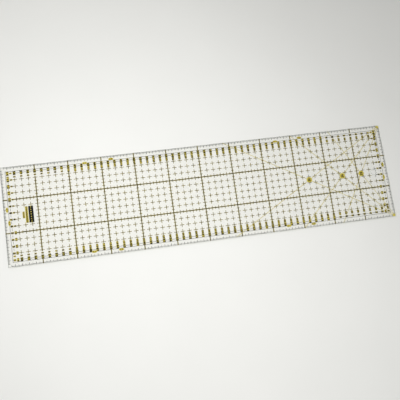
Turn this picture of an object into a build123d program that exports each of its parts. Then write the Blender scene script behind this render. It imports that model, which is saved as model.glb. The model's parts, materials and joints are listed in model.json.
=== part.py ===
"""Quilting ruler: one clear acrylic sheet, printed on its underside.

X runs along the ruler, from the numbered end at the left to the hang hole at the right, Y across it and
Z up. The origin is under the middle of the ruler, on the surface it lies on. The sheet carries two ink
films: black marks printed straight onto the acrylic, then yellow marks printed over them. Everything is
read through the sheet from above. All sizes are in millimetres.
"""

import math
import os

from build123d import *

# Sheet
length_in_cm = 60
width_in_cm = 15
cm = 10.0
length = length_in_cm * cm
width = width_in_cm * cm
thickness = 3.0
edge_easing = 0.3
hang_hole_diameter = 9.0
hang_hole_inset = 23.0  # from the right-hand end to the hole's centre

# Ink films, the yellow one lowest
yellow_film = 0.05
black_film = 0.05
sheet_bottom = yellow_film + black_film

# Edge scales
millimetre_tick = (0.22, 2.0)  # width, length
half_cm_tick = (0.45, 3.0)
cm_tick = (0.5, 3.8)
first_tick = 5  # mm from each corner

# Lines beside the edges
seam_inset = 7.0
seam_line_width = 0.35
cm_line_width = 0.35
dash_clearance = 0.5  # between the first centimetre line and the numbers on it

# Grid
major_step = 5  # cm
major_line_width = 1.0
cross_line_width = 0.5
cross_arm = 3.3
half_tick_arm = 2.0

# Numbers: the outer ones stand on the first centimetre line, the inner ones further in
digit_stroke = 0.21  # share of a digit's height
outer_digit_height = 3.3
outer_digit_width = 2.4
inner_digit_height = 2.8
inner_digit_width = 1.8
digit_gap = 0.6
row_gap = 0.8  # between the two rows along a long edge
column_gap = 1.55  # between the two columns across an end
number_margin = 0.5  # kept clear around the numbers

# Angle lines, drawn from both right-hand corners, and their labels
angles = (30, 45, 60)
angle_line_width = 0.6
corner_patch_radius = 4.5  # yellow, where the lines of one corner run together
spot_diameter = 9.0
spot_digit_height = 4.0
spot_digit_width = 2.1
degree_ring = (0.5, 0.25)  # outer and inner radius

# Yellow ovals that name the two distances beside the edges
oval_length = 8.0
oval_width = 3.6
oval_digit_height = 2.0
oval_digit_width = 1.2
half_cm_inset = 5.0
seam_oval_stations = (12.5, 42.5)  # cm along the ruler
half_cm_oval_stations = (16.5, 46.5)
end_oval_offset = 10.0  # along each end, from its middle

# Label at the left-hand end, read with the ruler held upright
label_inset = 39.3  # from the left-hand end to the middle of the block
label_length = 25.0
label_height = 7.0
label_corner = 0.5
label_square = 1.3
label_squares = 7
caption_gap = 0.9
caption_lines = ((24.6, 4.0, 2.2), (10.0, 3.2, 1.6))  # length, height and bar of each line of small print
caption_word = 1.6
caption_space = 0.5
label_margin = 1.0

SEGMENTS = {
    "0": "abcdef",
    "1": "bc",
    "2": "abged",
    "3": "abgcd",
    "4": "fgbc",
    "5": "afgcd",
    "6": "afgedc",
    "7": "abc",
    "8": "abcdefg",
    "9": "gfabcd",
}

black_plane = Plane.XY.offset(yellow_film)
yellow_plane = Plane.XY
right_end = length / 2
front_edge = -width / 2
outer_inset = cm
upright = -90  # turns a number so that its top points to the right-hand end


def from_left(distance):
    return distance - right_end


def from_front(distance):
    return distance + front_edge


def segment_boxes(digit_width, digit_height, stroke):
    """Centre and size of the seven strokes of a digit, by letter."""
    side = (digit_width - stroke) / 2
    top = (digit_height - stroke) / 2
    upright_stroke = (stroke, (digit_height + stroke) / 2)
    return {
        "a": ((0, top), (digit_width, stroke)),
        "b": ((side, top / 2), upright_stroke),
        "c": ((side, -top / 2), upright_stroke),
        "d": ((0, -top), (digit_width, stroke)),
        "e": ((-side, -top / 2), upright_stroke),
        "f": ((-side, top / 2), upright_stroke),
        "g": ((0, 0), (digit_width, stroke)),
    }


def number(text, digit_width, digit_height):
    """A number in block digits, centred on the origin. It may hold one decimal point."""
    stroke = digit_height * digit_stroke
    gap = min(digit_gap, digit_width / 2)
    widths = [stroke if symbol == "." else digit_width for symbol in text]
    left = -(sum(widths) + gap * (len(text) - 1)) / 2
    boxes = segment_boxes(digit_width, digit_height, stroke)
    with BuildSketch() as drawn:
        for symbol, symbol_width in zip(text, widths):
            middle = left + symbol_width / 2
            left += symbol_width + gap
            if symbol == ".":
                with Locations((middle, (stroke - digit_height) / 2)):
                    Rectangle(stroke, stroke)
                continue
            for segment in SEGMENTS[symbol]:
                (x, y), (box_width, box_height) = boxes[segment]
                with Locations((middle + x, y)):
                    Rectangle(box_width, box_height)
    return drawn.sketch


def placed(texts, places, digit_width, digit_height, turn=upright):
    """One number for each text, turned and moved to its place."""
    faces = []
    for text, (x, y) in zip(texts, places):
        drawn = number(text, digit_width, digit_height)
        faces += drawn.moved(Location((x, y, 0), (0, 0, turn))).faces()
    return faces


def write(name, builder):
    builder.part.label = name
    export_step(builder.part, f"parts/{name}.step", write_pcurves=False)


def ink(name, faces, plane, film):
    """Prints flat faces as a film on a plane and writes them as a node."""
    with BuildPart() as printed:
        with BuildSketch(plane):
            add(faces)
        extrude(amount=film)
    write(name, printed)


os.makedirs("parts", exist_ok=True)

long_stations = range(1, length_in_cm)
end_stations = range(1, width_in_cm)
long_majors = [k for k in long_stations if k % major_step == 0]
end_majors = [k for k in end_stations if k % major_step == 0]

# Every number is turned upright, so its widths run across the ruler and its height along it
outer_span = 2 * outer_digit_width + digit_gap
inner_span = 2 * inner_digit_width + digit_gap
inner_row_inset = outer_inset + outer_span / 2 + row_gap + inner_span / 2
inner_column_inset = outer_inset + outer_digit_height / 2 + column_gap + inner_digit_height / 2
sides = (1, -1)
outer_row = [(from_left(k * cm), s * from_front(outer_inset)) for k in long_stations[1:-1] for s in sides]
outer_column = [(s * from_left(outer_inset), from_front(k * cm)) for k in end_stations for s in sides]

# Clear rectangle inside the numbers
row_reach = inner_row_inset + inner_span / 2 + number_margin
column_reach = inner_column_inset + inner_digit_height / 2 + number_margin
inner_length = length - 2 * column_reach
inner_width = width - 2 * row_reach

hang_hole_x = right_end - hang_hole_inset
spots = [(right_end - width / 2 / math.tan(math.radians(angle)), 0) for angle in angles]


# --- Acrylic sheet ---

with BuildPart() as sheet:
    with BuildSketch(Plane.XY.offset(sheet_bottom)):
        Rectangle(length, width)
        with Locations((hang_hole_x, 0)):
            Circle(hang_hole_diameter / 2, mode=Mode.SUBTRACT)
    extrude(amount=thickness)
    faces = sheet.faces().sort_by(Axis.Z)
    chamfer(faces[0].edges() + faces[-1].edges(), edge_easing)
write("acrylic_sheet", sheet)


# --- Edge scales, in black ---


def scale_ticks(stations_in_mm, edge_length, edge, inward, along_x):
    """Ticks of one edge scale: each starts on the edge and points inward."""
    for (tick_width, tick_length), wanted in (
        (cm_tick, lambda mm: mm % 10 == 0),
        (half_cm_tick, lambda mm: mm % 10 == 5),
        (millimetre_tick, lambda mm: mm % 5 != 0),
    ):
        middle = edge + inward * tick_length / 2
        chosen = [mm - edge_length / 2 for mm in stations_in_mm if wanted(mm)]
        places = [(s, middle) if along_x else (middle, s) for s in chosen]
        with Locations(*places):
            Rectangle(*((tick_width, tick_length) if along_x else (tick_length, tick_width)))


for name, edge_length, edge, inward, along_x in (
    ("edge_scale_front", length, front_edge, 1, True),
    ("edge_scale_back", length, -front_edge, -1, True),
    ("edge_scale_left", width, -right_end, 1, False),
    ("edge_scale_right", width, right_end, -1, False),
):
    stations = [
        mm
        for mm in range(first_tick, round(edge_length) - first_tick + 1)
        if mm % (major_step * 10)
    ]
    with BuildPart() as scale:
        with BuildSketch(black_plane):
            scale_ticks(stations, edge_length, edge, inward, along_x)
        extrude(amount=black_film)
    write(name, scale)


# --- Lines beside the edges, in black ---

# Ovals: centre, and whether the oval lies along the ruler
seam_ovals = [((from_left(s * cm), y), True) for s in seam_oval_stations
              for y in (from_front(seam_inset), -from_front(seam_inset))]
seam_ovals += [((s * from_left(seam_inset), -end_oval_offset), False) for s in sides]
half_cm_ovals = [((from_left(s * cm), y), True) for s in half_cm_oval_stations
                 for y in (from_front(half_cm_inset), -from_front(half_cm_inset))]
half_cm_ovals += [((s * from_left(half_cm_inset), end_oval_offset), False) for s in sides]


def draw_ovals(ovals, mode=Mode.ADD):
    for centre, along_x in ovals:
        radii = (oval_length / 2, oval_width / 2)
        with Locations(centre):
            Ellipse(*(radii if along_x else reversed(radii)), mode=mode)


with BuildPart() as seam_line:
    with BuildSketch(black_plane):
        outer = (length - 2 * seam_inset + seam_line_width, width - 2 * seam_inset + seam_line_width)
        Rectangle(*outer)
        Rectangle(*(side - 2 * seam_line_width for side in outer), mode=Mode.SUBTRACT)
        draw_ovals(seam_ovals + half_cm_ovals, mode=Mode.SUBTRACT)
        with Locations(*outer_row, *outer_column):
            Rectangle(outer_digit_height, outer_span, mode=Mode.SUBTRACT)
    extrude(amount=black_film)
write("seam_allowance_line", seam_line)

with BuildPart() as cm_line:
    with BuildSketch(black_plane):
        halfway = [k + 0.5 for k in long_stations][1:-2]
        with Locations(*((from_left(s * cm), y) for s in halfway
                         for y in (from_front(outer_inset), -from_front(outer_inset)))):
            Rectangle(cm - outer_digit_height - 2 * dash_clearance, cm_line_width)
        halfway = [k + 0.5 for k in end_stations][1:-2]
        with Locations(*((x, from_front(s * cm)) for s in halfway
                         for x in (from_left(outer_inset), -from_left(outer_inset)))):
            Rectangle(cm_line_width, cm - outer_span - 2 * dash_clearance)
    extrude(amount=black_film)
write("first_centimetre_line", cm_line)


# --- Grid, in black ---

label_text_height = sum(height for _, height, _ in caption_lines) + caption_gap * len(caption_lines)
label_zone = (label_height + label_text_height + 2 * label_margin, label_length + 2 * label_margin)
label_x = from_left(label_inset)


def clear_grid():
    """Keeps the grid off the angle spots, the hang hole and the label."""
    with Locations(*spots):
        Circle(spot_diameter / 2, mode=Mode.SUBTRACT)
    with Locations((hang_hole_x, 0)):
        Circle(hang_hole_diameter / 2 + edge_easing + label_margin, mode=Mode.SUBTRACT)
    with Locations((label_x - label_text_height / 2, 0)):
        Rectangle(*label_zone, mode=Mode.SUBTRACT)


with BuildPart() as major_lines:
    with BuildSketch(black_plane):
        across = [from_left(k * cm) for k in long_majors]
        along = [from_front(k * cm) for k in end_majors]
        with Locations(*((x, 0) for x in across)):
            Rectangle(major_line_width, inner_width)
        with Locations(*((0, y) for y in along)):
            Rectangle(inner_length, major_line_width)
        for arm, first in ((cross_arm, 2 * cm), (half_tick_arm, 2.5 * cm)):
            tick_y = [from_front(first + i * cm) for i in range(width_in_cm - 3 - (first > 2 * cm))]
            tick_x = [from_left(first + i * cm) for i in range(length_in_cm - 3 - (first > 2 * cm))]
            with Locations(*((x, y) for x in across for y in tick_y)):
                Rectangle(2 * arm, cross_line_width)
            with Locations(*((x, y) for x in tick_x for y in along)):
                Rectangle(cross_line_width, 2 * arm)
        Rectangle(inner_length, inner_width, mode=Mode.INTERSECT)
        clear_grid()
        stub = seam_inset - seam_line_width / 2
        with Locations(*((x, side * (width - stub) / 2) for x in across for side in (-1, 1))):
            Rectangle(major_line_width, stub)
        with Locations(*((side * (length - stub) / 2, y) for y in along for side in (-1, 1))):
            Rectangle(stub, major_line_width)
        draw_ovals(seam_ovals + half_cm_ovals, mode=Mode.SUBTRACT)
    extrude(amount=black_film)
write("major_grid_lines", major_lines)

with BuildPart() as crosses:
    with BuildSketch(black_plane):
        places = [
            (from_left(i * cm), from_front(j * cm))
            for i in long_stations[1:-1]
            for j in end_stations[1:-1]
            if i % major_step and j % major_step
        ]
        with Locations(*places):
            Rectangle(2 * cross_arm, cross_line_width)
            Rectangle(cross_line_width, 2 * cross_arm)
        Rectangle(inner_length, inner_width, mode=Mode.INTERSECT)
        clear_grid()
    extrude(amount=black_film)
write("centimetre_crosses", crosses)


# --- Numbers, in black ---

outer_size = (outer_digit_width, outer_digit_height)
inner_size = (inner_digit_width, inner_digit_height)

for side_name, side in (("front", 1), ("back", -1)):
    # The outer row counts from the right-hand end, and leaves the corners to the end columns.
    inside = long_stations[1:-1]
    places = [(from_left(k * cm), side * from_front(outer_inset)) for k in inside]
    texts = [str(length_in_cm - k) for k in inside]
    ink(f"outer_numbers_{side_name}", placed(texts, places, *outer_size), black_plane, black_film)
    # The inner row counts from the left-hand end.
    places = [(from_left(k * cm), side * from_front(inner_row_inset)) for k in long_stations]
    texts = [str(k) for k in long_stations]
    ink(f"inner_numbers_{side_name}", placed(texts, places, *inner_size), black_plane, black_film)

for side_name, side in (("left", 1), ("right", -1)):
    # The outer column counts from the front edge and the inner column from the back edge.
    places = [(side * from_left(outer_inset), from_front(k * cm)) for k in end_stations]
    texts = [str(k) for k in end_stations]
    ink(f"outer_numbers_{side_name}", placed(texts, places, *outer_size), black_plane, black_film)
    places = [(side * from_left(inner_column_inset), y) for _, y in places]
    texts = [str(width_in_cm - k) for k in end_stations]
    ink(f"inner_numbers_{side_name}", placed(texts, places, *inner_size), black_plane, black_film)


# --- Angle lines and their labels ---

right_corners = [(right_end, front_edge), (right_end, -front_edge)]
drawn_lines = []
for angle in angles:
    reach = width / math.sin(math.radians(angle))
    with BuildPart() as lines:
        with BuildSketch(yellow_plane) as line_sketch:
            for side in (-1, 1):
                middle = (right_end - reach / 2 * math.cos(math.radians(angle)), 0)
                with Locations(Location(middle, side * angle)):
                    Rectangle(reach, angle_line_width)
            Rectangle(length, width, mode=Mode.INTERSECT)
            with Locations(*spots):
                Circle(spot_diameter / 2, mode=Mode.SUBTRACT)
            with Locations(*right_corners):
                Circle(corner_patch_radius, mode=Mode.SUBTRACT)
            draw_ovals(seam_ovals + half_cm_ovals, mode=Mode.SUBTRACT)
            add(drawn_lines, mode=Mode.SUBTRACT)
        extrude(amount=yellow_film)
    drawn_lines += line_sketch.sketch.faces()
    write(f"angle_lines_{angle}", lines)

with BuildPart() as corner_patches:
    with BuildSketch(yellow_plane):
        with Locations(*right_corners):
            Circle(corner_patch_radius)
        Rectangle(length, width, mode=Mode.INTERSECT)
    extrude(amount=yellow_film)
write("corner_patches", corner_patches)

with BuildPart() as angle_spots:
    with BuildSketch(yellow_plane):
        with Locations(*spots):
            Circle(spot_diameter / 2)
    extrude(amount=yellow_film)
write("angle_spots", angle_spots)

spot_size = (spot_digit_width, spot_digit_height)
angle_faces = placed([str(angle) for angle in angles], spots, *spot_size)
ring_out = spot_digit_height / 2 - degree_ring[0]
ring_across = spot_digit_width + digit_gap * 1.5 + degree_ring[0]
with BuildPart() as angle_labels:
    with BuildSketch(black_plane):
        add(angle_faces)
        with Locations(*((x + ring_out, y - ring_across) for x, y in spots)):
            Circle(degree_ring[0])
            Circle(degree_ring[1], mode=Mode.SUBTRACT)
    extrude(amount=black_film)
write("angle_labels", angle_labels)


# --- Ovals and their labels ---

for name, ovals, text in (("seam", seam_ovals, seam_inset), ("half_cm", half_cm_ovals, half_cm_inset)):
    with BuildPart() as oval_patches:
        with BuildSketch(yellow_plane):
            draw_ovals(ovals)
        extrude(amount=yellow_film)
    write(f"{name}_ovals", oval_patches)
    oval_size = (oval_digit_width, oval_digit_height)
    label_faces = []
    for centre, along_x in ovals:
        label_faces += placed([f"{text / cm:.1f}"], [centre], *oval_size, turn=0 if along_x else upright)
    ink(f"{name}_oval_labels", label_faces, black_plane, black_film)


# --- Label ---

with BuildPart() as label_block:
    with BuildSketch(black_plane):
        with Locations((label_x, 0)):
            RectangleRounded(label_height, label_length, label_corner)
            with GridLocations(1, label_length / label_squares, 1, label_squares):
                Rectangle(label_square, label_square, rotation=45, mode=Mode.SUBTRACT)
    extrude(amount=black_film)
write("label_block", label_block)

with BuildPart() as label_backing:
    with BuildSketch(yellow_plane):
        with Locations((label_x, 0)):
            RectangleRounded(label_height, label_length, label_corner)
        edge = label_x - label_height / 2
        for line_length, line_height, bar in caption_lines:
            middle = edge - caption_gap - line_height / 2
            edge -= caption_gap + line_height
            with Locations((middle, 0)):
                RectangleRounded(line_height, line_length, label_corner)
    extrude(amount=yellow_film)
write("label_backing", label_backing)

with BuildPart() as label_caption:
    with BuildSketch(black_plane):
        edge = label_x - label_height / 2
        for line_length, line_height, bar in caption_lines:
            middle = edge - caption_gap - line_height / 2
            edge -= caption_gap + line_height
            words = int(line_length // caption_word)
            with Locations((middle, 0)):
                with GridLocations(1, line_length / words, 1, words):
                    Rectangle(bar, line_length / words - caption_space)
    extrude(amount=black_film)
write("label_caption", label_caption)
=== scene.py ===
import functools
import json
import math

import bmesh
import bpy
from mathutils import Matrix, Vector


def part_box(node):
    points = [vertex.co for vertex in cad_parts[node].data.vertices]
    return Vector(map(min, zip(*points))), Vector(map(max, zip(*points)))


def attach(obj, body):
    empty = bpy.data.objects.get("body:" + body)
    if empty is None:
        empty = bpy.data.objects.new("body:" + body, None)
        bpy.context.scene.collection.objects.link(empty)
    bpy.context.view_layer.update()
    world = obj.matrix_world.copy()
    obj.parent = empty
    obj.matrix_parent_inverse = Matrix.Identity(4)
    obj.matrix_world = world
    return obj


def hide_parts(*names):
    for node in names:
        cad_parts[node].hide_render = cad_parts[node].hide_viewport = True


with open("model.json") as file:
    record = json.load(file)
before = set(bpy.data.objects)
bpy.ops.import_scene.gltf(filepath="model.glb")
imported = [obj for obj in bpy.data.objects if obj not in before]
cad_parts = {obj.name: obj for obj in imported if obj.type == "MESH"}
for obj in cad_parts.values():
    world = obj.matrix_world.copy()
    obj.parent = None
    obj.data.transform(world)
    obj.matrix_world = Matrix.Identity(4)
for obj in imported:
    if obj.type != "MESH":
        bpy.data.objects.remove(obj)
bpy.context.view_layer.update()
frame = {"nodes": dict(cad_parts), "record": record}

MM = 0.001
CM = 0.01

# ---------------------------------------------------------------- sizes, in metres

# Read from the frame
sheet_low, sheet_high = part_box("acrylic_sheet")
LEFT, RIGHT = sheet_low.x, sheet_high.x
FRONT, BACK = sheet_low.y, sheet_high.y
WIDTH = BACK - FRONT
LENGTH_CM = round((RIGHT - LEFT) / CM)
WIDTH_CM = round(WIDTH / CM)

# The same as in part.py
MAJOR = 5  # centimetres from one bold line to the next
EDGE_CELLS = 2  # crosses, cross ticks and the outer numbers of the long rows start this many centimetres in
ANGLES = (30, 45, 60)
SPOTS = [RIGHT - WIDTH / 2 / math.tan(math.radians(a)) for a in ANGLES]
HOLE_X = RIGHT - 23 * MM
ROW = 15.6 * MM  # inner rows, from the long edges
COLUMN = 14.6 * MM  # inner columns, from the ends
INSIDE_X = RIGHT - 16.5 * MM  # bold lines and crosses stay within plus and minus these two
INSIDE_Y = BACK - 18.2 * MM
LABEL = (LEFT + 25.8 * MM, LEFT + 43.8 * MM, -13.5 * MM, 13.5 * MM)  # room kept for it: x, x, y, y
INK_SEAM = 0.05 * MM  # the height where the yellow film ends and the black film starts
INK_TOP = 0.10 * MM

# Yellow under the black print, which only this script has
HALO_LOW = 0.006 * MM
HALO_TOP = 0.047 * MM
INNER_HALO_TOP = HALO_TOP - 0.003 * MM  # a little lower, so that plates that meet share no face
GRID_HALF = 0.75 * MM  # half the width of the yellow under a bold line
STUB_START = 0.1 * MM  # the bold lines' short pieces at the edges, from the edge
STUB_END = 6.85 * MM
TICK_HALF = 0.4 * MM  # half the width of the yellow under a tick or a cross
LONG_TICK = 3.3 * MM
SHORT_TICK = 2.0 * MM
TICK_PAST = 0.18 * MM  # how far the yellow reaches past the end of a tick
CROSS_ARM = 3.45 * MM
CLEAR = 6 * MM  # crosses nearer than this to a spot or the hole get no yellow
PLATE_EDGE = 0.3 * MM  # how far the yellow under a number reaches past it
PLATE_ROUND = 0.5 * MM
ROUND_STEPS = 4  # sides of a round corner

# Numbers: the width and height of a digit (as in part.py) before it is made bolder, how much bolder it is
# in parts of the font's size, and the top of the yellow plate under it
OUTER = (2.4 * MM, 3.3 * MM, 0.058, HALO_TOP)
INNER = (1.8 * MM, 2.8 * MM, 0.055, INNER_HALO_TOP)
DIGIT_GAP = 0.6 * MM
NUMBER_TURN = -math.pi / 2  # numbers stand upright when the ruler's left-hand end is down
SAME_POINT = 1e-5  # points of a digit closer than this, in parts of the font's size, are one


# ---------------------------------------------------------------- materials


class Nodes:
    """A short way to write node trees."""

    def __init__(self, name):
        self.mat = bpy.data.materials.new(name)
        self.mat.use_nodes = True
        self.tree = self.mat.node_tree
        self.tree.nodes.clear()

    def add(self, kind, inputs=None, **settings):
        node = self.tree.nodes.new(kind)
        for key, value in settings.items():
            setattr(node, key, value)
        for key, value in (inputs or {}).items():
            if isinstance(value, bpy.types.NodeSocket):
                self.tree.links.new(value, node.inputs[key])
            else:
                node.inputs[key].default_value = value
        return node

    def place(self):
        return self.add("ShaderNodeTexCoord").outputs["Object"]

    def mapped(self, coords, **changes):
        return self.add("ShaderNodeMapping", {"Vector": coords, **changes}).outputs["Vector"]

    def noise(self, coords, scale, detail=3.0, rough=0.55):
        inputs = {"Vector": coords, "Scale": scale, "Detail": detail, "Roughness": rough}
        return self.add("ShaderNodeTexNoise", inputs).outputs["Fac"]

    def ramp(self, fac, stops):
        node = self.add("ShaderNodeValToRGB", {"Fac": fac})
        for element, (place, colour) in zip(node.color_ramp.elements, stops):
            element.position = place
            element.color = (*colour, 1.0)
        return node.outputs["Color"]

    def span(self, value, low, high, to_low, to_high):
        inputs = {"Value": value, "From Min": low, "From Max": high, "To Min": to_low, "To Max": to_high}
        return self.add("ShaderNodeMapRange", inputs).outputs["Result"]

    def math(self, operation, a, b=0.0):
        return self.add("ShaderNodeMath", {0: a, 1: b}, operation=operation).outputs[0]

    def mix(self, fac, first, second):
        return self.add("ShaderNodeMixShader", {0: fac, 1: first, 2: second}).outputs["Shader"]

    def surface(self, **inputs):
        named = {key.replace("_", " "): value for key, value in inputs.items()}
        return self.add("ShaderNodeBsdfPrincipled", named).outputs["BSDF"]

    def out(self, shader):
        self.add("ShaderNodeOutputMaterial", {"Surface": shader})
        return self.mat


def ink_material(name, dark, light, roughness, gloss):
    """Screen-printed ink: a slightly uneven film with the fine speckle of the printing mesh."""
    spread = 0.12  # how far from the middle of the noise the dark and the light tone lie
    n = Nodes(name)
    at = n.place()
    cloud = n.noise(at, scale=55.0, detail=4.0)
    grain = n.noise(at, scale=2600.0, detail=2.0, rough=0.7)
    both = n.math("ADD", n.math("MULTIPLY", cloud, 0.6), n.math("MULTIPLY", grain, 0.4))
    colour = n.ramp(both, ((0.5 - spread, dark), (0.5 + spread, light)))
    rough = n.span(grain, 0.35, 0.65, roughness - 0.07, roughness + 0.08)
    bump = n.add("ShaderNodeBump", {"Height": grain, "Strength": 0.12, "Distance": 0.01 * MM})
    bump = bump.outputs["Normal"]
    return n.out(n.surface(Base_Color=colour, Roughness=rough, Normal=bump, Specular_IOR_Level=gloss))


def acrylic_material():
    """Clear cast acrylic: polished faces with faint hairline scratches, and sawn edges that are a little
    duller and greener. Lamps shine through the faces; the edges hold some of their light back."""
    face_tint, edge_tint = (1.0, 0.999, 0.991), (0.93, 0.95, 0.93)
    face_through, edge_through = (0.998, 0.997, 0.988), (0.84, 0.85, 0.82)
    face_above = 0.8  # a face points up or down when its normal's z passes this
    scratch_half = 0.004
    scratched_above = 0.56
    scratch_rough = 0.18
    edge_frost = 0.4

    n = Nodes("clear_acrylic")
    at = n.place()
    normal = n.add("ShaderNodeNewGeometry").outputs["Normal"]
    facing = n.add("ShaderNodeSeparateXYZ", {"Vector": normal}).outputs["Z"]
    flat = n.math("GREATER_THAN", n.math("ABSOLUTE", facing), face_above)
    edge = n.math("SUBTRACT", 1.0, flat)

    # hairline scratches: stretched noise in two directions, kept to thin ridges
    scratches = []
    for turn, scale in ((0.4, 60.0), (-0.9, 85.0)):
        stretched = n.mapped(at, Rotation=(0, 0, turn), Scale=(1.0, 22.0, 1.0))
        field = n.noise(stretched, scale, detail=5.0, rough=0.6)
        off_ridge = n.math("ABSOLUTE", n.math("SUBTRACT", field, 0.5))
        scratches.append(n.math("LESS_THAN", off_ridge, scratch_half))
    patch = n.noise(at, scale=14.0, detail=2.0)
    worn = n.math("MULTIPLY", n.math("MAXIMUM", *scratches), n.math("GREATER_THAN", patch, scratched_above))
    polish = n.math("ADD", n.math("MULTIPLY", worn, scratch_rough), n.span(patch, 0.3, 0.7, 0.0, 0.035))
    saw = n.noise(n.mapped(at, Scale=(1.0, 1.0, 9.0)), scale=420.0)
    edge_rough = n.span(saw, 0.3, 0.7, 0.12, 0.3)
    rough = n.math("ADD", n.math("MULTIPLY", flat, polish), n.math("MULTIPLY", edge, edge_rough))

    tint = n.ramp(flat, ((0.0, edge_tint), (1.0, face_tint)))
    glass = n.surface(Base_Color=tint, Roughness=rough, IOR=1.49, Transmission_Weight=1.0)
    frost = n.surface(Base_Color=(*edge_tint, 1.0), Roughness=0.45)
    glass = n.mix(n.math("MULTIPLY", edge, edge_frost), glass, frost)
    through = n.ramp(flat, ((0.0, edge_through), (1.0, face_through)))
    clear = n.add("ShaderNodeBsdfTransparent", {"Color": through}).outputs["BSDF"]
    path = n.add("ShaderNodeLightPath")
    lamps = n.math("MAXIMUM", path.outputs["Is Shadow Ray"], path.outputs["Is Diffuse Ray"])
    return n.out(n.mix(lamps, glass, clear))


def floor_material():
    """A pale, matt table top with a faint cloudiness."""
    n = Nodes("pale_table")
    cloud = n.noise(n.place(), scale=6.0)
    colour = n.ramp(cloud, ((0.3, (0.80, 0.80, 0.775)), (0.7, (0.82, 0.82, 0.795))))
    return n.out(n.surface(Base_Color=colour, Roughness=0.75, Specular_IOR_Level=0.2))


by_slot = {
    "black_ink": ink_material("black_ink", (0.0015, 0.0015, 0.0015), (0.009, 0.009, 0.0085), 0.55, 0.12),
    "yellow_ink": ink_material("yellow_ink", (0.52, 0.43, 0.035), (0.66, 0.55, 0.085), 0.45, 0.25),
    "clear_acrylic": acrylic_material(),
}
for part in frame["record"]["subparts"]:
    node = frame["nodes"][part["node"]]
    for held in node.material_slots:
        held.material = by_slot[part["material_slot"]]
    if not node.material_slots:
        node.data.materials.append(by_slot[part["material_slot"]])


# ---------------------------------------------------------------- film pieces


def new_piece(name, shape, slot, replaced=()):
    """Turn a bmesh into a visible piece in the ink its slot names, and free it."""
    mesh = bpy.data.meshes.new(name)
    shape.to_mesh(mesh)
    shape.free()
    mesh.materials.append(by_slot[slot])
    obj = bpy.data.objects.new(name, mesh)
    bpy.context.scene.collection.objects.link(obj)
    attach(obj, "root")
    if replaced:
        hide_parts(*replaced)


def yellow_film(name, outlines, high=HALO_TOP):
    """Yellow under black print: each outline, a ring of x, y points, becomes a closed plate up to high."""
    bm = bmesh.new()
    for ring in outlines:
        bottom = [bm.verts.new((x, y, HALO_LOW)) for x, y in ring]
        top = [bm.verts.new((x, y, high)) for x, y in ring]
        bm.faces.new(list(reversed(bottom)))
        bm.faces.new(top)
        for i in range(len(ring)):
            j = (i + 1) % len(ring)
            bm.faces.new((bottom[i], bottom[j], top[j], top[i]))
    bmesh.ops.recalc_face_normals(bm, faces=bm.faces)
    new_piece(name, bm, "yellow_ink")


def bar(x0, x1, y0, y1):
    """Outline of a rectangle. The two x and the two y may come in either order."""
    x0, x1 = sorted((x0, x1))
    y0, y1 = sorted((y0, y1))
    return [(x0, y0), (x1, y0), (x1, y1), (x0, y1)]


def cross(x, y, arm, half):
    """Outline of a plus sign, made from one quarter of it turned four times."""
    ring = []
    corners = [(arm, half), (half, half), (half, arm)]
    for _ in range(4):
        ring += [(x + dx, y + dy) for dx, dy in corners]
        corners = [(-dy, dx) for dx, dy in corners]
    return ring


def clamp(value, limit):
    return max(-limit, min(limit, value))


def in_clear(x, y):
    """True where a spot, the hole or the label has its room."""
    if LABEL[0] < x < LABEL[1] and LABEL[2] < y < LABEL[3]:
        return True
    return any(math.hypot(x - middle, y) < CLEAR for middle in (*SPOTS, HOLE_X))


def inner_cells(count):
    return range(EDGE_CELLS, count - EDGE_CELLS + 1)


def tick_places(start, count):
    """Where a bold line's cross ticks stand, which isn't where bold lines cross, and how far they reach."""
    for k in range(2 * EDGE_CELLS, 2 * (count - EDGE_CELLS) + 1):
        if k % (2 * MAJOR):
            yield start + k * CM / 2, (SHORT_TICK if k % 2 else LONG_TICK) + TICK_PAST


across = [LEFT + k * CM for k in range(MAJOR, LENGTH_CM, MAJOR)]
along = [FRONT + k * CM for k in range(MAJOR, WIDTH_CM, MAJOR)]

outlines = [bar(x - GRID_HALF, x + GRID_HALF, -INSIDE_Y, INSIDE_Y) for x in across]
ends = [-INSIDE_X, *across, INSIDE_X]
for y in along:
    for start, end in zip(ends, ends[1:]):
        low = start + (GRID_HALF if start in across else 0)
        high = end - (GRID_HALF if end in across else 0)
        outlines.append(bar(low, high, y - GRID_HALF, y + GRID_HALF))
for x in across:
    for side in (-1, 1):
        near, far = side * (BACK - STUB_START), side * (BACK - STUB_END)
        outlines.append(bar(x - GRID_HALF, x + GRID_HALF, near, far))
for y in along:
    for side in (-1, 1):
        near, far = side * (RIGHT - STUB_START), side * (RIGHT - STUB_END)
        outlines.append(bar(near, far, y - GRID_HALF, y + GRID_HALF))
yellow_film("grid_line_halo", outlines)

outlines = []
for y, arm in tick_places(FRONT, WIDTH_CM):
    for x in across:
        for side in (-1, 1):
            outlines.append(bar(x + side * GRID_HALF, x + side * arm, y - TICK_HALF, y + TICK_HALF))
for x, arm in tick_places(LEFT, LENGTH_CM):
    for y in along:
        for side in (-1, 1):
            outlines.append(bar(x - TICK_HALF, x + TICK_HALF, y + side * GRID_HALF, y + side * arm))
yellow_film("grid_tick_halo", outlines)

outlines = []
for i in inner_cells(LENGTH_CM):
    for j in inner_cells(WIDTH_CM):
        x = LEFT + i * CM
        y = FRONT + j * CM
        if i % MAJOR and j % MAJOR and not in_clear(x, y):
            ring = cross(x, y, CROSS_ARM, TICK_HALF)
            outlines.append([(clamp(px, INSIDE_X), clamp(py, INSIDE_Y)) for px, py in ring])
yellow_film("cross_halo", outlines)


# ---------------------------------------------------------------- numbers


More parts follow.
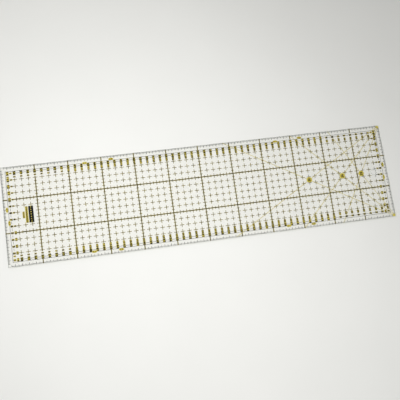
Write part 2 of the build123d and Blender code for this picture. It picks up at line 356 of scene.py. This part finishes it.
def glyph(symbol, bold):
    """A digit of Blender's own font, as a flat mesh at font size 1."""
    curve = bpy.data.curves.new("glyph", "FONT")
    curve.body = symbol
    curve.size = 1.0
    curve.offset = bold
    curve.resolution_u = 3
    curve.align_x = "CENTER"
    holder = bpy.data.objects.new("glyph", curve)
    bpy.context.scene.collection.objects.link(holder)
    depsgraph = bpy.context.evaluated_depsgraph_get()
    mesh = bpy.data.meshes.new_from_object(holder.evaluated_get(depsgraph))
    bpy.data.objects.remove(holder)
    bpy.data.curves.remove(curve)
    return mesh


@functools.cache
def digit(symbol, bold):
    """A digit's flat mesh, and the plain digit's x centre, width, bottom and height. The nine is a six
    upside down, because the font's own nine crosses itself when it is made bolder."""
    source = "6" if symbol == "9" else symbol
    plain = glyph(source, 0.0)
    xs = [v.co.x for v in plain.vertices]
    ys = [v.co.y for v in plain.vertices]
    middle, width = (min(xs) + max(xs)) / 2, max(xs) - min(xs)
    bottom, height = min(ys), max(ys) - min(ys)
    mesh = glyph(source, bold)
    if symbol == "9":
        centre = Matrix.Translation((middle, bottom + height / 2, 0))
        mesh.transform(centre @ Matrix.Rotation(math.pi, 4, "Z") @ centre.inverted())
    return mesh, middle, width, bottom, height


def digit_plate(symbol, bold, move):
    """One digit, moved into place and raised to a closed plate, as a mesh."""
    part = bmesh.new()
    part.from_mesh(digit(symbol, bold)[0])
    bmesh.ops.remove_doubles(part, verts=part.verts, dist=SAME_POINT)
    bmesh.ops.transform(part, matrix=move, verts=part.verts)
    made = bmesh.ops.extrude_face_region(part, geom=part.faces[:])["geom"]
    raised = [item for item in made if isinstance(item, bmesh.types.BMVert)]
    bmesh.ops.translate(part, vec=(0, 0, INK_TOP - INK_SEAM), verts=raised)
    bmesh.ops.recalc_face_normals(part, faces=part.faces)
    mesh = bpy.data.meshes.new("digit")
    part.to_mesh(mesh)
    part.free()
    return mesh


def lettering(name, entries, wide, tall, bold, replaced):
    """A row of numbers in black ink, in place of a CAD node. entries are (text, x, y); the plain zero is
    wide by tall, and the other digits are scaled as it is."""
    _, _, zero_width, zero_bottom, zero_height = digit("0", bold)
    scale = Matrix.Diagonal((wide / zero_width, tall / zero_height, 1, 1))
    row = bmesh.new()
    for text, x, y in entries:
        stand = Matrix.Translation((x, y, INK_SEAM)) @ Matrix.Rotation(NUMBER_TURN, 4, "Z")
        for i, symbol in enumerate(text):
            aside = (i - (len(text) - 1) / 2) * (wide + DIGIT_GAP)
            centred = Matrix.Translation((-digit(symbol, bold)[1], -zero_bottom - zero_height / 2, 0))
            plate = digit_plate(symbol, bold, stand @ Matrix.Translation((aside, 0, 0)) @ scale @ centred)
            row.from_mesh(plate)
            bpy.data.meshes.remove(plate)
    new_piece(name, row, "black_ink", (replaced,))


def rounded_plate(x, y, half_x, half_y):
    """Outline of a rectangle with round corners, counterclockwise."""
    ring = []
    for corner, (sx, sy) in enumerate(((1, 1), (-1, 1), (-1, -1), (1, -1))):
        for step in range(ROUND_STEPS + 1):
            angle = math.radians(90 * (corner + step / ROUND_STEPS))
            ring.append((
                x + sx * (half_x - PLATE_ROUND) + PLATE_ROUND * math.cos(angle),
                y + sy * (half_y - PLATE_ROUND) + PLATE_ROUND * math.sin(angle),
            ))
    return ring


# Each row of numbers, under the name of the CAD node that it replaces
rows = {}
for end_name, side in (("front", 1), ("back", -1)):
    outer = [(str(LENGTH_CM - k), LEFT + k * CM, side * (FRONT + CM)) for k in inner_cells(LENGTH_CM)]
    inner = [(str(k), LEFT + k * CM, side * (FRONT + ROW)) for k in range(1, LENGTH_CM)]
    rows[f"outer_numbers_{end_name}"] = (outer, OUTER)
    rows[f"inner_numbers_{end_name}"] = (inner, INNER)
for end_name, side in (("left", 1), ("right", -1)):
    outer = [(str(k), side * (LEFT + CM), FRONT + k * CM) for k in range(1, WIDTH_CM)]
    inner = [(str(WIDTH_CM - k), side * (LEFT + COLUMN), FRONT + k * CM) for k in range(1, WIDTH_CM)]
    rows[f"outer_numbers_{end_name}"] = (outer, OUTER)
    rows[f"inner_numbers_{end_name}"] = (inner, INNER)

for node, (entries, (wide, tall, bold, plate_top)) in rows.items():
    lettering(node.replace("numbers", "figures"), entries, wide, tall, bold, node)
    plates = []
    for text, x, y in entries:
        long = len(text) * (wide + DIGIT_GAP) - DIGIT_GAP
        plates.append(rounded_plate(x, y, tall / 2 + PLATE_EDGE, long / 2 + PLATE_EDGE))
    yellow_film(node.replace("numbers", "halo"), plates, plate_top)


# ---------------------------------------------------------------- stage, lights and camera

FLOOR_HALF = 3.0
FLOOR_HEIGHT = -0.2 * MM  # just under the ruler
floor_mesh = bpy.data.meshes.new("table")
floor_corners = [(x, y, FLOOR_HEIGHT) for x, y in bar(-FLOOR_HALF, FLOOR_HALF, -FLOOR_HALF, FLOOR_HALF)]
floor_mesh.from_pydata(floor_corners, [], [(0, 1, 2, 3)])
floor_mesh.materials.append(floor_material())
floor = bpy.data.objects.new("table", floor_mesh)
bpy.context.scene.collection.objects.link(floor)

# A room lit from its sides: bright walls and a darker ceiling, so that little shows mirrored in the sheet
# from above. The walls turn into ceiling between two heights of the direction looked in, 0.68 and 0.88.
world = bpy.data.worlds.new("studio")
bpy.context.scene.world = world
world.use_nodes = True
sky = world.node_tree
height = sky.nodes.new("ShaderNodeSeparateXYZ")
sky.links.new(sky.nodes.new("ShaderNodeTexCoord").outputs["Generated"], height.inputs[0])
ceiling = sky.nodes.new("ShaderNodeMapRange")
ceiling.interpolation_type = "SMOOTHSTEP"
for key, value in (("From Min", 0.68), ("From Max", 0.88), ("To Min", 0.62), ("To Max", 0.36)):
    ceiling.inputs[key].default_value = value
sky.links.new(height.outputs["Z"], ceiling.inputs["Value"])
sky.nodes["Background"].inputs["Color"].default_value = (1.0, 1.0, 0.985, 1)
sky.links.new(ceiling.outputs["Result"], sky.nodes["Background"].inputs["Strength"])

# A soft lamp behind the ruler on the left. Mirrored and transmitted rays don't see it, because its image
# would white out a third of the sheet in low views.
LAMP_PLACE = Vector((-0.75, 0.95, 1.5))
LAMP_AIM = Vector((-0.06, -0.14, 0.0))
lamp_data = bpy.data.lights.new("softbox", "AREA")
lamp_data.shape = "DISK"
lamp_data.size = 0.7
lamp_data.energy = 1.83
lamp_data.spread = math.radians(37)
lamp = bpy.data.objects.new("softbox", lamp_data)
lamp.location = LAMP_PLACE
lamp.rotation_euler = (LAMP_AIM - LAMP_PLACE).to_track_quat("-Z", "Y").to_euler()
lamp.visible_glossy = False
lamp.visible_transmission = False
bpy.context.scene.collection.objects.link(lamp)

# The photograph's point of view
camera_data = bpy.data.cameras.new("camera")
camera_data.lens = 48.6
camera_data.sensor_width = 36.0
camera_data.clip_start = 0.01
camera = bpy.data.objects.new("camera", camera_data)
camera.location = (-0.1089, -0.1320, 0.8186)
camera.rotation_euler = (0.16235, -0.10174, -0.14119)
bpy.context.scene.collection.objects.link(camera)
bpy.context.scene.camera = camera
bpy.context.scene.view_settings.view_transform = "Standard"
